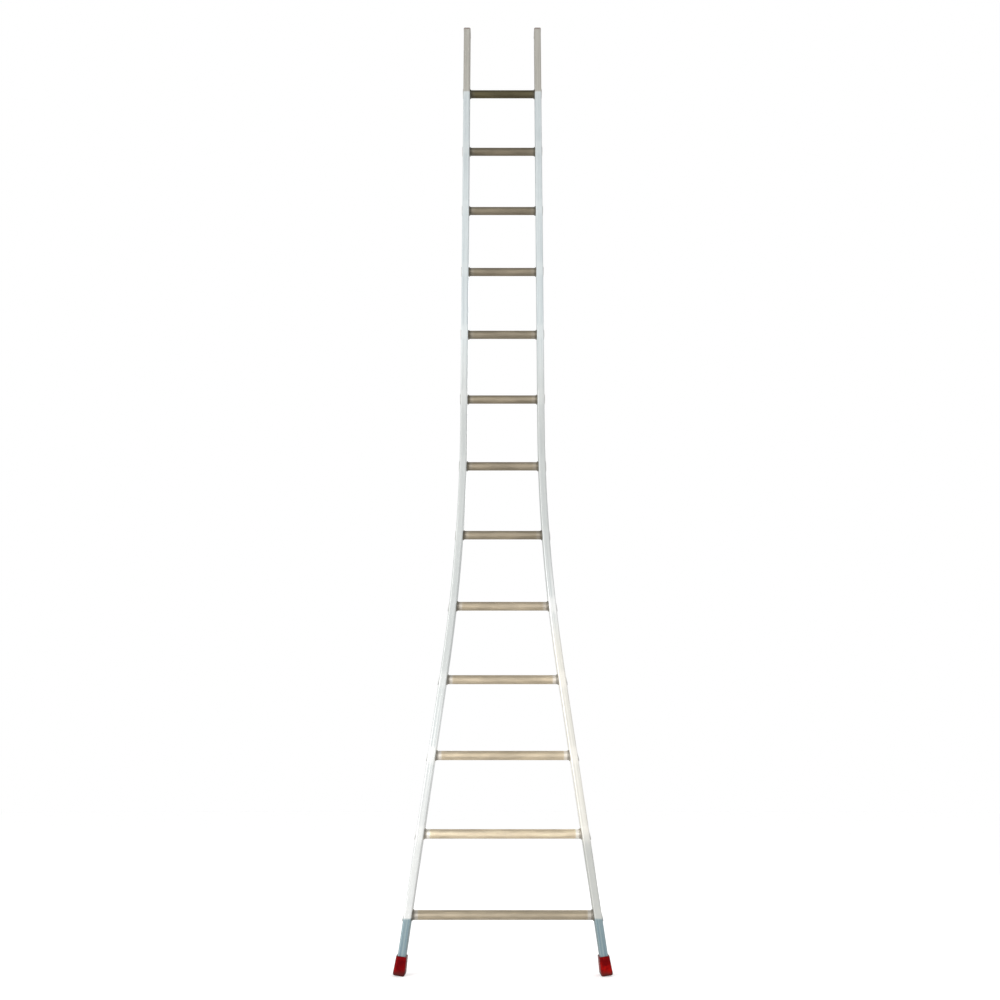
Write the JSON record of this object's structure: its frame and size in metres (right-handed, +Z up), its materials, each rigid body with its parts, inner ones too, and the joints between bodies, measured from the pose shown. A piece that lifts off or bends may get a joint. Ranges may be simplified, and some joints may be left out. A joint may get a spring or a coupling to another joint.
{
  "type": "ladder",
  "caption": "Single-section aluminium rung ladder with stiles that bend outwards to a wide base and red rubber foot caps.",
  "frame": {"origin": "on the floor, midway between the feet, at the lowest line of the soles", "axes": "+Z up the ladder, +X from the left stile to the right one as the climber sees them, +Y from the climber's side to the wall side"},
  "size_m": [0.6924, 0.0774, 3.456],
  "materials": {
    "stile_aluminium": "mill finish, fine extrusion lines",
    "rung_aluminium": "fluted, dull warm grey",
    "foot_rubber": "red, semi-gloss moulded",
    "rivet_aluminium": "bright",
    "plug_plastic": "matt moulded"
  },
  "bodies": {
    "root": {"stile_left": "stile_aluminium", "stile_right": "stile_aluminium", "rung_01": "rung_aluminium", "rung_02": "rung_aluminium", "rung_03": "rung_aluminium", "rung_04": "rung_aluminium", "rung_05": "rung_aluminium", "rung_06": "rung_aluminium", "rung_07": "rung_aluminium", "rung_08": "rung_aluminium", "rung_09": "rung_aluminium", "rung_10": "rung_aluminium", "rung_11": "rung_aluminium", "rung_12": "rung_aluminium", "rung_13": "rung_aluminium", "foot_cap_left": "foot_rubber", "foot_cap_right": "foot_rubber", "cap_rivets_left": "rivet_aluminium", "cap_rivets_right": "rivet_aluminium", "end_plug_left": "plug_plastic", "end_plug_right": "plug_plastic"}
  },
  "joints": []
}
